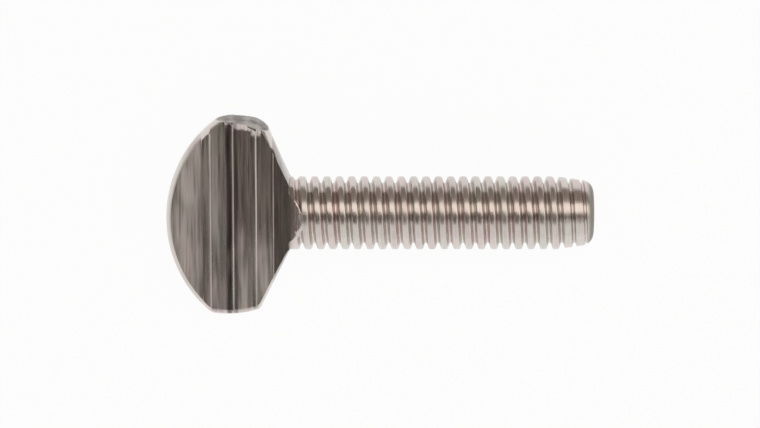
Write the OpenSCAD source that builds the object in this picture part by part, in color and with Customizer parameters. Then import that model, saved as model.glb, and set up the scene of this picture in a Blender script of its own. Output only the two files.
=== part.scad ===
// Thumb screw, M6 x 25, cold forged and thread rolled from one piece of stainless steel wire:
// a flat ribbed head, a neck that spreads out of the shank, and a right-hand thread up to the neck.
// The dies leave crisp faces between sides that bulge freely. The lower end is rounded, and the
// upper end is sheared off.
// It lies as it comes to rest, on the crests of its thread and on one long edge of the head.
// The origin is on the screw's axis, where the flanks of the head meet the thread. X runs along
// the screw towards its tip, and Z is up. The head and thread are drawn level, then rolled over.

/* [Thread] */
// Outside diameter of the rolled thread
major_d = 5.9; // [5.8:0.01:5.97]
// Distance from one crest to the next
pitch = 1; // [0.8:0.1:1.25]
// Length from the neck to the end of the screw
screw_length = 24.5; // [10:0.5:60]
// Turns over which the groove runs out at the neck
run_out_turns = 1; // [0.5:0.25:2]
// Angle round the shank at which the groove starts, from +Y towards +Z
thread_start = 172; // [0:1:359]
// Straight steps in one turn of the groove
steps_per_turn = 24; // [16:4:32]

/* [Point] */
// Length of the slight taper behind the rounded end
lead_length = 2; // [0.5:0.1:4]
// How far the taper draws the crests in, on the radius
lead_drop = 0.29; // [0.1:0.01:0.5]
// Radius of the rounded end
point_r = 1; // [0.3:0.05:1.1]

/* [Head] */
// Width across the round ends of the head
head_w = 16.1; // [13:0.1:20]
// Distance from the neck to the middle of the round ends
head_middle = 5; // [4:0.1:6]
// Height of the head above the neck, up to the top of the crown
head_h = 10; // [8:0.1:12]
// Radius of the crown
crown_r = 10.15; // [8.5:0.05:14]
// Thickness between the two faces, without the ribs
face_t = 2.45; // [1.8:0.05:3.2]
// How far the crown bulges out past the edges of the faces
crown_bulge = 0.4; // [0.2:0.05:0.55]
// How far the upper flank bulges out
flank_up_bulge = 0.55; // [0.2:0.05:0.55]
// How far the lower flank bulges out
flank_down_bulge = 0.25; // [0.2:0.05:0.55]
// Rounding round the lower end
end_r = 0.42; // [0.2:0.02:0.46]
// How far the sheared upper end leans in, from one face to the other
shear_lean = 0.5; // [0.48:0.02:0.8]
// How far the dies left the crown off the screw's axis
crown_shift = 0.32; // [0:0.01:0.5]
// How far the dies left the round ends off the screw's axis
ends_shift = 0.12; // [0:0.01:0.3]
// Slope of the upper flank, from square to the axis
flank_up = 22.5; // [15:0.5:35]
// Slope of the lower flank, from square to the axis
flank_down = 26.5; // [15:0.5:35]

/* [Neck] */
// Slope of the ramps between the faces and the shank
ramp_angle = 37; // [30:1:50]
// How far the ramps reach out along the shank from the neck
ramp_reach = 0.95; // [0.5:0.05:1.5]
// How far the neck's straight sides stand in from the edges of the faces
neck_inset = 0.05; // [0.05:0.05:0.3]
// Radius that blends the foot of each ramp into the face
foot_r = 0.5; // [0.2:0.1:1]

/* [Ribs] */
// Number of grip ribs on each face
rib_count = 3; // [1:1:3]
// Distance from one rib to the next
rib_pitch = 1.84; // [1:0.02:2]
// Distance from the neck to the sharp edge of the first rib
first_rib = 2.75; // [2.4:0.05:3.5]
// Width of a rib
rib_w = 0.6; // [0.3:0.05:0.9]
// Height of a rib's sharp edge above the face
rib_h = 0.2; // [0.05:0.01:0.3]

/* [Hidden] */
$fn = 96;

major_r = major_d / 2;
// Longer than anything that a tool cuts
past = 80;
steel = [0.62, 0.6, 0.58];

// The lower edge of the head and the crests of the thread touch the table together.
// These two run from the axis to the middle of the rounding on that edge.
edge_y = head_w / 2 + ends_shift - end_r;
edge_z = face_t / 2 + rib_h - end_r;
roll = asin((major_r - end_r) / norm([edge_y, edge_z])) - atan(edge_z / edge_y);

// ISO groove, cut by a 60 degree V whose mouth stands a little proud of the crests
overcut = 0.05;
groove_depth = 0.6134 * pitch + overcut;
root_flat = pitch / 6;
groove_steps = ceil((screw_length / pitch + 1) * steps_per_turn);

// Section through a plate that ends in a rounded edge at x = reach
module edge_section(reach, thickness, rounding) {
    translate([0, -thickness / 2]) square([reach - rounding, thickness]);
    translate([0, rounding - thickness / 2]) square([reach, thickness - 2 * rounding]);
    for (side = [-1, 1])
        translate([reach - rounding, side * (thickness / 2 - rounding)]) circle(rounding);
}

// Section through a plate that ends in an arc, which reaches x and bulges out past both faces
module bulged_section(reach, thickness, bulge) {
    arc_r = (pow(face_t / 2, 2) + pow(bulge, 2)) / (2 * bulge);
    intersection() {
        translate([0, -thickness / 2]) square([reach, thickness]);
        union() {
            translate([0, -thickness / 2]) square([reach - arc_r, thickness]);
            translate([reach - arc_r, 0]) circle(arc_r);
        }
    }
}

// Everything on one side of a flank, which slopes by angle and crosses x = 0 at y = start. Its
// section is the child, drawn with its edge at x = past.
module flank(start, angle) {
    translate([0, start]) rotate([90, 0, angle])
        linear_extrude(past, center = true)
            translate([-past, 0]) children();
}

// Round plate whose upper end, towards +Y, is a leaning wall with a sharp upper edge
module sheared_disc(thickness) {
    // The cone that leans in runs on past both faces by half their distance
    bottom_r = head_w / 2 + shear_lean / 2;
    top_r = bottom_r - 2 * shear_lean;
    intersection() {
        rotate_extrude() edge_section(head_w / 2, thickness, end_r);
        union() {
            cylinder(h = 2 * face_t, r1 = bottom_r, r2 = top_r, center = true);
            translate([-past / 2, -past, -past / 2]) cube(past);
        }
    }
}

// Flat head without its ribs: the sheared disc cut by the crown and by the two flanks
module head_plate(thickness) {
    intersection() {
        translate([-head_middle, -ends_shift]) sheared_disc(thickness);
        translate([crown_r - head_h, -crown_shift])
            rotate_extrude() bulged_section(crown_r, thickness, crown_bulge);
        flank(major_r, flank_up) bulged_section(past, thickness, flank_up_bulge);
        flank(-major_r, -flank_down) bulged_section(past, thickness, flank_down_bulge);
    }
}

// Section of one rib through both faces, highest at x = 0: steep on the neck's side, and
// falling gently to a low step on the crown's side
module rib_section() {
    top = face_t / 2 + rib_h;
    for (side = [-1, 1])
        scale([1, side])
            polygon([[-rib_w, 0], [-rib_w, top - rib_h / 2], [0, top], [rib_h, top - rib_h], [rib_h, 0]]);
}

// The ribs run over the rounded edge of the head, a rib's height proud of it
module ribs() {
    intersection() {
        head_plate(face_t + 2 * rib_h);
        for (i = [0 : rib_count - 1])
            translate([-first_rib - i * rib_pitch, 0])
                rotate([90, 0, 0]) linear_extrude(2 * head_w, center = true) rib_section();
    }
}

// Rolled blank from inside the neck to the tip, with its tapered lead and rounded end
module shank() {
    end_x = screw_length - point_r;
    tip_r = major_r - lead_drop;
    rotate([0, 90, 0]) rotate_extrude() {
        polygon([
            [0, -major_r],
            [major_r, -major_r],
            [major_r, end_x - lead_length],
            [tip_r, end_x],
            [0, end_x],
        ]);
        translate([tip_r - point_r, end_x]) circle(point_r);
        translate([0, end_x]) square([tip_r - point_r, point_r]);
    }
}

// Section under the upper ramp and its foot, an arc that starts a sink below the face
module ramp_section() {
    sink = 0.005;
    foot_x = ramp_reach - (major_r - face_t / 2 + sink) / tan(ramp_angle);
    arc_x = foot_x - foot_r * tan(ramp_angle / 2);
    arc_z = face_t / 2 - sink;
    end = [arc_x + foot_r * sin(ramp_angle), arc_z + foot_r * (1 - cos(ramp_angle))];
    polygon([[end[0], 0], end, [ramp_reach, major_r], [past, major_r], [past, 0]]);
    difference() {
        polygon([[arc_x, 0], [arc_x, arc_z], end, [end[0], 0]]);
        translate([arc_x, arc_z + foot_r]) circle(foot_r);
    }
}

// The two ramps that thin the neck down to the faces
module ramps() {
    rotate([90, 0, 0]) linear_extrude(past, center = true) {
        ramp_section();
        mirror([0, 1]) ramp_section();
    }
}

// Wedge whose straight sides carry on from the faces' edges, turned down to a cone where it
// runs into the shank
module neck() {
    intersection() {
        flank(major_r, flank_up) neck_section(flank_up_bulge + neck_inset);
        flank(-major_r, -flank_down) neck_section(flank_down_bulge + neck_inset);
        rotate([0, 90, 0])
            cylinder(h = 2 * major_r, r1 = 2 * major_r, r2 = 0, center = true);
    }
}

module neck_section(inset) {
    translate([0, -past / 2]) square([past - inset, past]);
}

module neck_and_shank() {
    intersection() {
        ramps();
        union() {
            shank();
            neck();
        }
    }
}

// The four corners of the groove's section at one step of the helix, mouth, root, root, mouth.
// The groove is shallow at the neck and full from the end of its run-out.
function groove_corners(step) =
    let (
        turns = step / steps_per_turn,
        angle = thread_start + 360 * turns,
        depth = groove_depth * min(1, (step + 0.5) / steps_per_turn / run_out_turns),
        root = root_flat / 2,
        mouth = root + depth * tan(30)
    )
    [for (corner = [[-mouth, 0], [-root, depth], [root, depth], [mouth, 0]])
        let (r = major_r + overcut - corner[1])
            [pitch * turns + corner[0], r * cos(angle), r * sin(angle)]];

module thread_groove() {
    points = [for (step = [0 : groove_steps]) each groove_corners(step)];
    last = 4 * groove_steps;
    walls = [
        for (step = [0 : groove_steps - 1], corner = [0 : 3])
            let (a = 4 * step + corner, b = 4 * step + (corner + 1) % 4)
                each [[a, b + 4, b], [a, a + 4, b + 4]]
    ];
    ends = [[0, 1, 2, 3], [last + 3, last + 2, last + 1, last]];
    polyhedron(points, concat(walls, ends));
}

module thumb_screw() {
    color(steel)
        rotate([roll, 0, 0]) {
            head_plate(face_t);
            ribs();
            difference() {
                neck_and_shank();
                thread_groove();
            }
        }
}

thumb_screw();
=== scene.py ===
import math

import bmesh
import bpy
from mathutils import Matrix, Vector, noise


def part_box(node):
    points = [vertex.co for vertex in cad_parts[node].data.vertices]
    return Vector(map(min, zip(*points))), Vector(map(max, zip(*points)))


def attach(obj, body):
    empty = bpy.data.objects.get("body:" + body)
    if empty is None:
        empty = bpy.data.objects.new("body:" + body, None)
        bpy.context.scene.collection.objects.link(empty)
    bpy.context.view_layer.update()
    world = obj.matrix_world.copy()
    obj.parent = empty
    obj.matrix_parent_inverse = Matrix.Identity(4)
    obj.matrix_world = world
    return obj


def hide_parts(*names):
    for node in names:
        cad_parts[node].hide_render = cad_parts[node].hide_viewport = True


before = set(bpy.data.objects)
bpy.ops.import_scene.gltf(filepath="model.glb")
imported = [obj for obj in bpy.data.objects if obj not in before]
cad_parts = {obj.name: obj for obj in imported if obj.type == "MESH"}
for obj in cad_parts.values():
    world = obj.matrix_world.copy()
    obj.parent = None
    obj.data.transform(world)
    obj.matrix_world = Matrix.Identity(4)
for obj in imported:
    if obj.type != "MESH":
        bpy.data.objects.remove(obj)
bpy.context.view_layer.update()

# ---- The head
# The screw is forged from one piece of stainless wire. Two dies press its head flat, so the metal
# bulges out between them round the crown and down both flanks. The lower end is left rounded, and
# the upper end is sheared off. Sizes are in millimetres on the screw's own axis.
mm = 0.001
low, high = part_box("thumb_screw")
head_h = -low.x / mm
screw_length = high.x / mm
thread_r = high.z / mm
head_w = 16.1
face_t = 2.45
head_centre = Vector((-4.5, 0))
ends_centre = Vector((-5, -0.12))
crown_r = 10.15
crown_centre = Vector((crown_r - head_h, -0.42))
crown_bulge = 0.42
flank_slopes = {1: math.radians(22.5), -1: math.radians(26.5)}
flank_bulges = {1: 0.55, -1: 0.27}
crown_power = 3.2
flank_power = 2.5
neck_ends = {1: (-2.6, 1.3), -1: (-0.2, 0.9)}
end_r = 0.42
shear_step = (0.13, 0.02)
shear_lean = (0.02, 0.34)
shear_ends = (-5.9, -2.1)
# The torn edge: how far in and how high its burr runs, its tears with waves, a layer and a share
# each, and how much they move the burr inwards, the wall and the burr's height
burr_rings = [(0.3, 0), (0.2, 0.35), (0.12, 0.8), (0.05, 1)]
burr_h = 0.13
tears = [(1.3, 3, 1), (4, 8, 0.5)]
burr_wander = 0.8
tear_depth = 0.05
burr_jag = 0.6
crisp = math.radians(32)
corner_blend = 0.02
rim_steps = 720
edge_steps = 9
wall_steps = 7
# Longer than anything that is cut, and the least that a side may face the way it is looked for
past = 40
least_facing = 0.01


def placed(name, mesh):
    piece = bpy.data.objects.new(name, mesh)
    bpy.context.scene.collection.objects.link(piece)
    return piece


def finished(name, shape):
    """Turns a closed bmesh into an object whose faces point outwards."""
    bmesh.ops.recalc_face_normals(shape, faces=shape.faces)
    mesh = bpy.data.meshes.new(name)
    shape.to_mesh(mesh)
    shape.free()
    return placed(name, mesh)


def worked(base, operation, tool):
    """Joins the tool to the base, or cuts or trims the base with it. The tool is used up."""
    step = base.modifiers.new(operation, "BOOLEAN")
    step.operation = operation
    step.solver = "EXACT"
    step.object = tool
    depsgraph = bpy.context.evaluated_depsgraph_get()
    mesh = bpy.data.meshes.new_from_object(base.evaluated_get(depsgraph), depsgraph=depsgraph)
    name = base.name
    bpy.data.objects.remove(base)
    bpy.data.objects.remove(tool)
    return placed(name, mesh)


def eased(start, end, value):
    part = min(1, max(0, (value - start) / (end - start)))
    return part * part * (3 - 2 * part)


def everything(shape):
    return shape.verts[:] + shape.edges[:] + shape.faces[:]


def as_far_as_circle(way, centre, r):
    """How far it is from the middle of the head, one way, to a circle round it."""
    offset = head_centre - centre
    out = way.dot(offset)
    return math.sqrt(out ** 2 + r ** 2 - offset.length_squared) - out


def as_far_as_flank(way, side, inset):
    """How far it is to a flank, whose bulge is gone where the neck runs into the shank."""
    slope = flank_slopes[side]
    facing = way.dot((math.cos(slope), side * math.sin(slope)))
    if facing < least_facing:
        return past
    flat = (thread_r * math.sin(slope) - head_centre.x * math.cos(slope)) / facing
    in_head = 1 - eased(*neck_ends[side], head_centre.x + way.x * flat)
    return flat - inset * in_head / facing


def end_inset(way, z):
    """How far the upper or lower end lies in from its widest. The sheared end leans in."""
    if way.y <= 0:
        return end_r - math.sqrt(end_r ** 2 - max(0, abs(z) - face_t / 2 + end_r) ** 2)
    x = head_centre.x + way.x / way.y * head_w / 2
    share = eased(*shear_ends, x)
    step, lean = [start + (end - start) * share for start, end in (shear_step, shear_lean)]
    return step + lean * (0.5 + z / face_t)


def ragged(way, place):
    """A noise along the torn end, one for each place: long tears, and short ones on them."""
    x = way.x * head_w / 2
    return sum(share * noise.noise(Vector((x * waves, place, layer))) for waves, layer, share in tears)


def head_reach(way, z):
    """How far the head reaches from its middle one way and at one height: to the nearest of its
    four sides, which blend a little at the corners. Also the share that the torn end has in it."""
    up = 2 * abs(z) / face_t
    sides = [as_far_as_circle(way, crown_centre, crown_r - crown_bulge * up ** crown_power),
             as_far_as_circle(way, ends_centre, head_w / 2 - end_inset(way, z)),
             as_far_as_flank(way, 1, flank_bulges[1] * up ** flank_power),
             as_far_as_flank(way, -1, flank_bulges[-1] * up ** flank_power)]
    near = min(sides)
    shares = [math.exp((near - side) / corner_blend) for side in sides]
    torn = shares[1] / sum(shares) if way.y > 0 else 0
    return near - corner_blend * math.log(sum(shares)), torn


def plate():
    """A ring let down from one face to the other, each time at the reach of its height. Rings inside
    the upper face come first. They raise the burr along the torn end."""
    shape = bmesh.new()
    bmesh.ops.create_circle(shape, segments=rim_steps, radius=1)
    way_of = shape.verts.layers.float_vector.new("way")
    torn_at = shape.verts.layers.float.new("torn")
    for corner in shape.verts:
        corner[way_of] = corner.co.normalized()
    wall = face_t / 2 - end_r
    upper = [wall + end_r * math.cos(math.pi / 2 * step / edge_steps) for step in range(edge_steps)]
    middle = [wall - 2 * wall * step / wall_steps for step in range(wall_steps + 1)]
    rings = [(face_t / 2, inset, raised) for inset, raised in burr_rings]
    rings += [(z, 0, 0) for z in upper + middle + [-z for z in reversed(upper)]]

    def lay(corner, z, inset, raised):
        way = corner[way_of].xy
        reach, torn = head_reach(way, z)
        reach -= inset * (1 + burr_wander * torn * ragged(way, 1))
        reach -= tear_depth * torn * (0.5 + z / face_t) * (1 + ragged(way, 2))
        corner.co = (head_centre + way * reach).to_3d()
        corner.co.z = z + burr_h * raised * torn * (1 + burr_jag * ragged(way, 5))
        corner[torn_at] = 0 if inset else torn

    ring = shape.edges[:]
    for corner in shape.verts:
        lay(corner, *rings[0])
    for station in rings[1:]:
        grown = bmesh.ops.extrude_edge_only(shape, edges=ring)["geom"]
        for corner in grown:
            if isinstance(corner, bmesh.types.BMVert):
                lay(corner, *station)
        ring = [edge for edge in grown if isinstance(edge, bmesh.types.BMEdge)]
    open_rims = [edge for edge in shape.edges if edge.is_boundary]
    bmesh.ops.holes_fill(shape, edges=open_rims, sides=rim_steps)
    return shape


def creased(shape):
    """Marks the edges where the surface turns sharply."""
    for edge in shape.edges:
        if edge.calc_face_angle(0) > crisp:
            edge.smooth = False


# ---- The grip ribs and the neck
# Three ribs cross each face. On the crown's side each starts in a low step and runs level to a
# rounded crest, which drops steeply towards the neck. The dies press them with the ramps, which
# thicken the head towards the shank and have a blended foot.
rib_count = 3
rib_pitch = 1.84
first_rib = 2.75
rib_section = [(-0.63, 0), (-0.61, 0.07), (-0.58, 0.1), (-0.085, 0.1), (-0.045, 0.13), (-0.03, 0.135),
               (0, 0.13), (0.05, 0.11), (0.09, 0.085), (0.11, 0)]
rib_fade = 0.3
tallest = 0.16
ramp_angle = math.radians(37)
ramp_reach = 0.95
ramp_foot = ramp_reach - (thread_r - face_t / 2) / math.tan(ramp_angle)
foot_r = 0.5
foot_starts = ramp_foot - foot_r * math.tan(ramp_angle / 2)
foot_steps = 8
sunk = 0.03
# Where the faces are sliced for the ribs to rise: evenly along and across, and closer at the neck
slices_x = [-9.6 + 0.45 * line for line in range(20)]
slices_y = [-7.5 + 0.6 * line for line in range(26)]
neck_slices = [-0.6, -0.2, 0.2, 0.6, ramp_reach]
at_slice = 1e-5


def rib_height(x):
    for rib in range(rib_count):
        from_rib = x + first_rib + rib * rib_pitch
        for (start, before), (end, after) in zip(rib_section, rib_section[1:]):
            if start <= from_rib <= end:
                return before + (after - before) * (from_rib - start) / (end - start)
    return 0


def ramp_height(x):
    """How far the ramp stands above the face: an arc at its foot, then a straight slope."""
    from_foot = x - foot_starts
    if from_foot < 0:
        return 0
    if from_foot < foot_r * math.sin(ramp_angle):
        return foot_r - math.sqrt(foot_r ** 2 - from_foot ** 2)
    return (min(x, ramp_reach) - ramp_foot) * math.tan(ramp_angle)


def sliced(shape, axis, places):
    """Cuts the faces of a shape square to an axis, at each place along it."""
    for place in places:
        bmesh.ops.bisect_plane(shape, geom=everything(shape), dist=at_slice, plane_co=axis * place,
                               plane_no=axis)


shape = plate()
lengthways = Vector((1, 0, 0))
crossways = Vector((0, 1, 0))
for rib in range(rib_count):
    sliced(shape, lengthways, [x - first_rib - rib * rib_pitch for x, z in rib_section])
sliced(shape, lengthways, [foot_starts + foot_r * math.sin(ramp_angle * step / foot_steps)
                           for step in range(foot_steps + 1)])
sliced(shape, lengthways, slices_x + neck_slices)
sliced(shape, crossways, slices_y)
creased(shape)
for corner in shape.verts:
    side = math.copysign(1, corner.co.z)
    up_the_wall = 2 * abs(corner.co.z) / face_t
    up_the_edge = eased(1 - 2 * rib_fade / face_t, 1, up_the_wall)
    burr = max(0, abs(corner.co.z) - face_t / 2)
    raised = min(burr + rib_height(corner.co.x) * up_the_edge, tallest)
    corner.co.z += side * (ramp_height(corner.co.x) * up_the_wall + raised - burr)
    from_axis = math.hypot(corner.co.y, corner.co.z)
    if corner.co.x > 0 and from_axis > thread_r - sunk:
        corner.co.y *= (thread_r - sunk) / from_axis
        corner.co.z *= (thread_r - sunk) / from_axis
screw = finished("screw", shape)


def bar(name, section, length):
    """A bar along Y whose section in X and Z is the given outline."""
    shape = bmesh.new()
    rim = [shape.verts.new((x, -length / 2, z)) for x, z in section]
    end = bmesh.ops.contextual_create(shape, geom=rim)["faces"]
    pulled = bmesh.ops.extrude_face_region(shape, geom=end)["geom"]
    bmesh.ops.translate(shape, vec=(0, length, 0),
                        verts=[part for part in pulled if isinstance(part, bmesh.types.BMVert)])
    return finished(name, shape)


on_the_axis = 1e-6


def revolved(name, section, steps):
    """A solid turned about the X axis from its outline, given as points along X and outwards."""
    shape = bmesh.new()
    rim = [shape.verts.new((x, 0, r)) for x, r in section]
    line = [shape.edges.new(pair) for pair in zip(rim, rim[1:])]
    bmesh.ops.spin(shape, geom=rim + line, cent=(0, 0, 0), axis=(1, 0, 0), steps=steps,
                   angle=2 * math.pi, use_merge=True)
    bmesh.ops.remove_doubles(shape, verts=shape.verts, dist=on_the_axis)
    return finished(name, shape)


# ---- The shank
# The thread is rolled into the blank up to the neck, where the groove runs out over one turn. The
# last turns taper a little and the end is rounded.
pitch = 1
lead_length = 2
lead_drop = 0.29
point_r = 1
blank_starts = -1
blank_steps = 144
end_steps = 12
end_x = screw_length - point_r
tip_r = thread_r - lead_drop
blank_section = [(blank_starts, 0), (blank_starts, thread_r), (end_x - lead_length, thread_r)]
for step in range(end_steps + 1):
    turn = step / end_steps * math.pi / 2
    blank_section.append((end_x + point_r * math.sin(turn), tip_r - point_r * (1 - math.cos(turn))))
blank_section.append((screw_length, 0))
blank = revolved("blank", blank_section, blank_steps)
# The same ramps thin the shank, a hair lower so that the head's own faces show
below = 0.01
past_ramp = 0.1
ramp_section = [(x, thread_r - below + (x - ramp_reach) * math.tan(ramp_angle))
                for x in (blank_starts, ramp_reach + past_ramp)]
ramp_section.append((past, ramp_section[1][1]))
ramp_section += [(x, -z) for x, z in reversed(ramp_section)]
blank = worked(blank, "INTERSECT", bar("ramps", ramp_section, past))

thread_start = math.radians(172)
run_out_turns = 1
steps_per_turn = 72
# Half the section of the groove: how far from its middle, and how deep under the crests there
groove_half = [(0, 0.52), (0.05, 0.515), (0.09, 0.49), (0.12, 0.43), (0.16, 0.3), (0.2, 0.17),
               (0.235, 0.085), (0.27, 0.04), (0.31, 0.017), (0.37, 0.004), (0.45, -0.006)]
shallowest = 0.02
same_place = 1e-4


def groove():
    """A groove with a rounded root and flared lips, spun along the shank as a right-hand helix."""
    shape = bmesh.new()
    section = [(-x, depth) for x, depth in reversed(groove_half[1:])] + groove_half
    rim = [shape.verts.new((x, thread_r - depth, 0)) for x, depth in section]
    loop = [shape.edges.new(pair) for pair in zip(rim, rim[1:] + rim[:1])]
    bmesh.ops.rotate(shape, verts=rim, cent=(0, 0, 0), matrix=Matrix.Rotation(thread_start, 3, "X"))
    bmesh.ops.spin(shape, geom=rim + loop, cent=(0, 0, 0), axis=(1, 0, 0),
                   dvec=(pitch / steps_per_turn, 0, 0), angle=2 * math.pi, steps=steps_per_turn,
                   use_merge=False)
    turn = everything(shape)
    for further in range(1, math.ceil(screw_length / pitch) + 1):
        copied = bmesh.ops.duplicate(shape, geom=turn)["geom"]
        bmesh.ops.translate(shape, vec=(pitch * further, 0, 0),
                            verts=[part for part in copied if isinstance(part, bmesh.types.BMVert)])
    bmesh.ops.remove_doubles(shape, verts=shape.verts, dist=same_place)
    ends = [edge for edge in shape.edges if edge.is_boundary]
    bmesh.ops.holes_fill(shape, edges=ends, sides=len(section))
    for corner in shape.verts:
        part = ((math.atan2(corner.co.z, corner.co.y) - thread_start) / (2 * math.pi)) % 1
        turns_on = part + round(corner.co.x / pitch - part)
        if turns_on < run_out_turns:
            r = math.hypot(corner.co.y, corner.co.z)
            depth = thread_r - r
            if depth > 0:
                grown = (thread_r - depth * max(shallowest, turns_on / run_out_turns)) / r
                corner.co.y *= grown
                corner.co.z *= grown
    return finished("groove", shape)


blank = worked(blank, "DIFFERENCE", groove())
screw = worked(screw, "UNION", blank)

# ---- The screw as it lies
# The finished forging rolls over until the long edge of its head and the crests of its thread touch
# the table. The dies leave streaks across its faces, but none on the sides, which bulge freely.
torn_from = 6.9
pressed_normals = (0.6, 0.95)
shape = bmesh.new()
shape.from_mesh(screw.data)
bpy.data.objects.remove(screw)
bmesh.ops.remove_doubles(shape, verts=shape.verts, dist=same_place)
shape.normal_update()
torn_at = shape.verts.layers.float["torn"]
pressed_at = shape.verts.layers.float.new("pressed")
for corner in shape.verts:
    on_shank = corner.co.x > blank_starts
    if on_shank or corner.co.y < torn_from:
        corner[torn_at] = 0
    corner[pressed_at] = 1 if on_shank else eased(*pressed_normals, abs(corner.normal.z))
edge_y = head_w / 2 - ends_centre.y - end_r
edge_z = face_t / 2 + max(z for x, z in rib_section) - end_r
roll = math.asin((thread_r - end_r) / math.hypot(edge_y, edge_z)) - math.atan(edge_z / edge_y)
bmesh.ops.transform(shape, verts=shape.verts,
                    matrix=Matrix.Rotation(roll, 4, "X") @ Matrix.Scale(mm, 4))
for face in shape.faces:
    face.smooth = True
creased(shape)
screw = finished("forged_screw", shape)
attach(screw, "root")
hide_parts("thumb_screw")

# Stainless steel, streaked across the faces by the dies, and torn dull where it was sheared. Its colour
# also holds painted shade beside the middle rib, on the ramps and on the torn end
steel = bpy.data.materials.new("stainless")
steel.use_nodes = True
nodes, links = steel.node_tree.nodes, steel.node_tree.links
shader = nodes["Principled BSDF"]
shader.inputs["Metallic"].default_value = 1
place = nodes.new("ShaderNodeTexCoord").outputs["Object"]


def streaks(stretch, centre, detail):
    """Noise from 0 to 1, stretched by so many waves a millimetre along X, Y and Z."""
    mapping = nodes.new("ShaderNodeMapping")
    mapping.inputs["Location"].default_value = centre
    mapping.inputs["Scale"].default_value = [waves / mm for waves in stretch]
    pattern = nodes.new("ShaderNodeTexNoise")
    pattern.inputs["Scale"].default_value = 1
    pattern.inputs["Detail"].default_value = detail
    links.new(place, mapping.inputs["Vector"])
    links.new(mapping.outputs["Vector"], pattern.inputs["Vector"])
    return pattern.outputs["Fac"]


def ramp(value, stops):
    """Turns a value into a colour. Each stop is a place from 0 to 1 with a colour or a grey."""
    node = nodes.new("ShaderNodeValToRGB")
    elements = node.color_ramp.elements
    while len(elements) < len(stops):
        elements.new(1)
    for element, (at, colour) in zip(elements, stops):
        element.position = at
        element.color = (*colour, 1) if isinstance(colour, tuple) else (colour, colour, colour, 1)
    links.new(value, node.inputs["Fac"])
    return node.outputs["Color"]


# The Mix node has the sockets of every kind of value. These are its factor, colours and result.
mix_sockets = (0, 6, 7)
mix_result = 2


def mixed(mode, factor, first, second):
    """Mixes two colours. The factor and each colour may be a value or a socket to link."""
    node = nodes.new("ShaderNodeMix")
    node.data_type = "RGBA"
    node.blend_type = mode
    for number, value in zip(mix_sockets, (factor, first, second)):
        if isinstance(value, bpy.types.NodeSocket):
            links.new(value, node.inputs[number])
        else:
            node.inputs[number].default_value = value
    return node.outputs[mix_result]


def between(value, start, end, least=0):
    """Rises from the least, where the value is at the start, to 1 where it is at the end."""
    node = nodes.new("ShaderNodeMapRange")
    node.inputs["From Min"].default_value = start * mm
    node.inputs["From Max"].default_value = end * mm
    node.inputs["To Min"].default_value = least
    links.new(value, node.inputs["Value"])
    return node.outputs["Result"]


def carried(name):
    """The share of each point in a finish that the mesh carries."""
    node = nodes.new("ShaderNodeAttribute")
    node.attribute_name = name
    return node.outputs["Fac"]


across = nodes.new("ShaderNodeSeparateXYZ")
links.new(place, across.inputs["Vector"])
banded = (-10, 1)
from_crown = between(across.outputs["X"], *banded)


def by_band(stops):
    """A value that changes along the head, from the crown to the first turn of the thread."""
    start, end = banded
    return ramp(from_crown, [((x - start) / (end - start), value) for x, value in stops])


# Bands across the head, from the crown at -10 mm to the neck, each with how dull the dies left it
bands = [(-10, 0.35), (-9, 0.9), (-8.1, 1.2), (-7.3, 0.85), (-7, 0.2), (-6.6, 0.4), (-6.1, 0.55),
         (-5.3, 0.35), (-4.85, 0), (-4.4, 0.3), (-3.8, 0.9), (-3, 0.2), (-2, 1), (-1.5, 0.7), (-1.2, 0),
         (0, 0), (1, 0.4)]
band_depth = 0.6
band = by_band(bands)
# Broad patches: they vary how dull the faces are, and how strong the painted shade beside the middle rib
# is
wear_and_shade_patches = streaks((0.5, 0.2, 0.3), (3, 1, 0), 2)
broad = ramp(wear_and_shade_patches, [(0.38, 0.1), (0.62, 1)])
fine = streaks((4.5, 0.22, 0.4), (0, 0, 0), 4)
tint = streaks((1.3, 0.2, 0.3), (7, 2, 5), 3)
# The lower half of the neck's side is duller than the upper half
lower_half = (-0.5, -3)
least_dull = 0.1
lower = between(across.outputs["Y"], *lower_half, least_dull)
neck_side = by_band([(-4.6, 0), (-4.4, 1), (-1, 1), (0, 0)])
dull = mixed("MULTIPLY", neck_side, mixed("MULTIPLY", band_depth, band, broad), lower)
colour = ramp(tint, [(0.35, (0.7, 0.605, 0.58)), (0.5, (0.71, 0.645, 0.61)), (0.65, (0.69, 0.665, 0.61))])
pressed = carried("pressed")
streaked = mixed("MULTIPLY", 1, by_band([(-1, 1), (0, 0.3)]), pressed)
colour = mixed("MULTIPLY", streaked, colour, ramp(fine, [(0.3, 0.55), (0.5, 0.9), (0.62, 1)]))
# Painted shade: dark strips on both sides of the middle rib's crest, patchy with the broad noise
painted_rib_shade = by_band([(-5.15, 1), (-5, 0.3), (-4.75, 0.35), (-4.6, 1), (-4.5, 0.6), (-4.25, 0.6), (-4.1, 1)])
colour = mixed("MULTIPLY", ramp(wear_and_shade_patches, [(0.35, 0.2), (0.5, 1)]), colour, painted_rib_shade)
# Painted shade: the ramps at the neck are darkened to 0.65 from -1.3 mm to 0 mm, fading out by 0.4 mm
colour = mixed("MULTIPLY", 1, colour, by_band([(-1.45, 1), (-1.3, 0.65), (0, 0.65), (0.4, 1)]))
rough = mixed("ADD", 1, ramp(dull, [(0, 0.16), (1, 0.48)]), ramp(fine, [(0.35, 0), (0.65, 0.05)]))
# The point is dull where it was cut
cut_back = (0.6, 0.25)
cut_colour = (0.42, 0.4, 0.38, 1)
cut_rough = (0.45, 0.45, 0.45, 1)
cut = between(across.outputs["X"], *(screw_length - back for back in cut_back))
colour = mixed("MULTIPLY", cut, colour, cut_colour)
rough = mixed("MIX", cut, rough, cut_rough)
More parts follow.
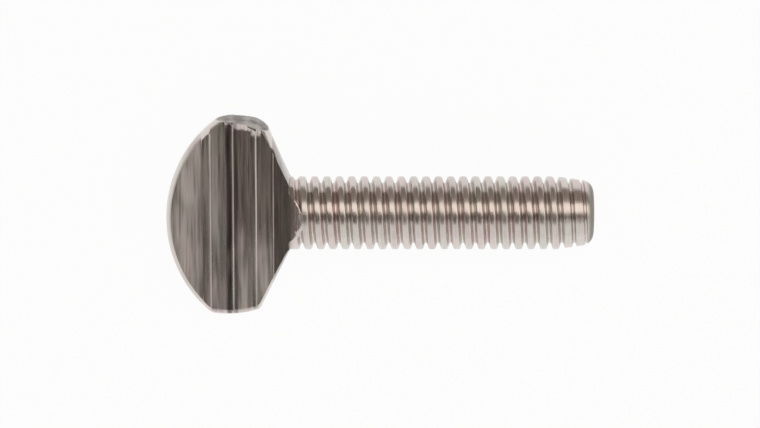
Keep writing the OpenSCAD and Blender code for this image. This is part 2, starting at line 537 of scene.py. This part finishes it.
# The sheared end is torn, so it is mottled and rougher still. Its colour is also darker as painted shade,
# for the wall lying partly in its own shadow
torn = carried("torn")
torn_rough = (0.5, 0.5, 0.5, 1)
torn_and_shaded_colour = ramp(streaks((1.1, 0.8, 0.9), (2, 4, 1), 3),
                   [(0.35, (0.23, 0.205, 0.195)), (0.6, (0.48, 0.45, 0.415))])
colour = mixed("MIX", torn, colour, torn_and_shaded_colour)
rough = mixed("MIX", torn, rough, torn_rough)
# Scratches run round the shank and across the head
scratch_depth = 0.02
scratches = nodes.new("ShaderNodeBump")
scratches.inputs["Distance"].default_value = scratch_depth * mm
scratched = mixed("MULTIPLY", 1, by_band([(-1, 0.35), (0, 1)]), pressed)
links.new(scratched, scratches.inputs["Strength"])
links.new(streaks((7, 0.25, 0.35), (5, 3, 2), 3), scratches.inputs["Height"])
links.new(scratches.outputs["Normal"], shader.inputs["Normal"])
links.new(colour, shader.inputs["Base Color"])
links.new(rough, shader.inputs["Roughness"])
screw.data.materials.append(steel)

# ---- The table and the light
# The screw lies on a plain white table under soft lamps. The table and the room behind it look
# plain white to the camera, and the table to the steel too, while the lamps light the screw.
table_size = 3
table_grey = 0.9
table_rough = 0.9
plain_share = 0.95
room_colour = (0.13, 0.109, 0.096, 1)
plain_white = (1, 1, 1, 1)
lamp_distance = 0.4
bpy.ops.mesh.primitive_plane_add(size=table_size, location=(0, 0, low.z))
table = bpy.context.object
table.name = "table"
white = bpy.data.materials.new("white_table")
white.use_nodes = True
nodes, links = white.node_tree.nodes, white.node_tree.links
diffuse = nodes["Principled BSDF"]
diffuse.inputs["Base Color"].default_value = (table_grey, table_grey, table_grey, 1)
diffuse.inputs["Roughness"].default_value = table_rough
glow = nodes.new("ShaderNodeEmission")
path = nodes.new("ShaderNodeLightPath")
seen = nodes.new("ShaderNodeMath")
seen.operation = "MAXIMUM"
links.new(path.outputs["Is Camera Ray"], seen.inputs[0])
links.new(path.outputs["Is Glossy Ray"], seen.inputs[1])
share = nodes.new("ShaderNodeMath")
share.operation = "MULTIPLY"
share.inputs[1].default_value = plain_share
links.new(seen.outputs[0], share.inputs[0])


def blended(output, factor, first, second):
    """Sends a mix of two shaders to the surface of a material or of the world."""
    mix = nodes.new("ShaderNodeMixShader")
    for socket, value in zip(mix.inputs, (factor, first, second)):
        links.new(value, socket)
    links.new(mix.outputs["Shader"], nodes[output].inputs["Surface"])


blended("Material Output", share.outputs["Value"], diffuse.outputs["BSDF"], glow.outputs["Emission"])
table.data.materials.append(white)

world = bpy.data.worlds.new("studio")
bpy.context.scene.world = world
world.use_nodes = True
nodes, links = world.node_tree.nodes, world.node_tree.links
room = nodes["Background"]
room.inputs["Color"].default_value = room_colour
backdrop = nodes.new("ShaderNodeBackground")
backdrop.inputs["Color"].default_value = plain_white
path = nodes.new("ShaderNodeLightPath")
blended("World Output", path.outputs["Is Camera Ray"], room.outputs["Background"],
        backdrop.outputs["Background"])


def lamp(name, across, up, width, height, radiance, colour):
    """A flat soft lamp, aimed at the screw from across and up degrees off the upright."""
    light = bpy.data.lights.new(name, "AREA")
    light.shape = "RECTANGLE"
    light.size = 2 * lamp_distance * math.tan(math.radians(width / 2))
    light.size_y = 2 * lamp_distance * math.tan(math.radians(height / 2))
    light.energy = radiance * math.pi * light.size * light.size_y
    light.color = colour
    holder = bpy.data.objects.new(name, light)
    bpy.context.scene.collection.objects.link(holder)
    turn = Matrix.Rotation(math.radians(-up), 4, "X") @ Matrix.Rotation(math.radians(across), 4, "Y")
    holder.matrix_world = turn @ Matrix.Translation((0, 0, lamp_distance))


lamp("key", 20, 17, 130, 34, 1.2, (1, 0.93, 0.87))
lamp("front", 5, -66, 130, 62, 0.74, (0.97, 0.99, 1))
lamp("back", 0, 62, 100, 44, 0.12, (1, 0.84, 0.72))
lamp("left", -45, -28, 14, 12, 0.8, (1, 1, 1))
lamp("right", 38, -27, 44, 12, 0.5, (1, 1, 1))

# ---- The camera
# It looks straight down. The screw's origin lies a little to the left of the picture's middle.
picture_px = (760, 428)
px_per_mm = 12.37
origin_px = (290.06, 212.8)
camera_height = 0.3
lens = bpy.data.cameras.new("camera")
lens.lens = lens.sensor_width * camera_height / (picture_px[0] / px_per_mm * mm)
camera = bpy.data.objects.new("camera", lens)
camera.location = ((picture_px[0] / 2 - origin_px[0]) / px_per_mm * mm,
                   (origin_px[1] - picture_px[1] / 2) / px_per_mm * mm,
                   camera_height)
bpy.context.scene.collection.objects.link(camera)
bpy.context.scene.camera = camera
bpy.context.scene.view_settings.view_transform = "Standard"
